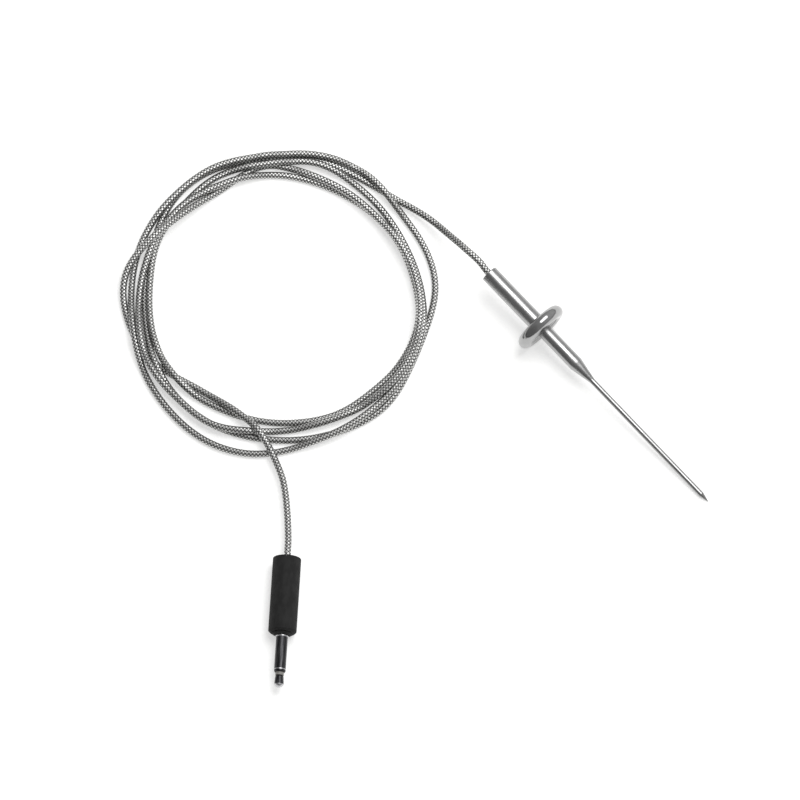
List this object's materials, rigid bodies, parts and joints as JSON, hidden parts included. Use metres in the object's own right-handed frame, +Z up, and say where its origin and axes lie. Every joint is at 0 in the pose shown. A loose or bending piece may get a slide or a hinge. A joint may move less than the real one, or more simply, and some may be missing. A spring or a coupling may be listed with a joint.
{
  "type": "meat thermometer",
  "caption": "Thin pointed steel probe with a ring grip, on a coiled braided steel cable that ends in a slim jack plug.",
  "frame": {"origin": "on the table, under the middle of the probe's own box (the cable, coil and plug are not counted)", "axes": "+X along the probe towards its point, +Z up from the table; the cable's coil and the plug lie to -Y"},
  "size_m": [0.1843, 0.1431, 0.017],
  "materials": {
    "polished_steel": "polished stainless steel",
    "braided_steel": "woven stainless wire braid",
    "moulded_black": "matte moulded plastic",
    "black_nickel": "black nickel plate",
    "insulator": "moulded light insulator",
    "brass": "plain crimp brass",
    "tinned_copper": "tin plate",
    "core_insulation": "extruded film insulation",
    "sensor_glass": "fused glass bead",
    "thermal_paste": "cured paste"
  },
  "bodies": {
    "root": {"probe_tube": "polished_steel", "needle_point": "polished_steel", "handle_sleeve": "polished_steel", "grip_ring": "polished_steel", "thermistor_bead": "sensor_glass", "thermal_paste": "thermal_paste", "thermistor_lead_a": "core_insulation", "thermistor_lead_b": "core_insulation", "splice_ferrule_a": "tinned_copper", "splice_ferrule_b": "tinned_copper", "probe_core_a": "core_insulation", "probe_core_b": "core_insulation", "splice_wrap": "moulded_black", "cable_crimp": "brass", "probe_cable_end": "braided_steel", "cord_probe_run": "braided_steel", "cord_coil": "braided_steel", "cord_plug_run": "braided_steel", "plug_grip": "moulded_black", "cable_entry_collar": "moulded_black", "jack_sleeve": "black_nickel", "jack_insulator": "insulator", "jack_tip": "black_nickel", "rear_washer": "insulator", "tip_lug": "tinned_copper", "sleeve_lug": "tinned_copper", "cable_clamp": "tinned_copper", "plug_cable_end": "braided_steel", "plug_core_a": "core_insulation", "plug_core_b": "core_insulation"}
  },
  "joints": []
}
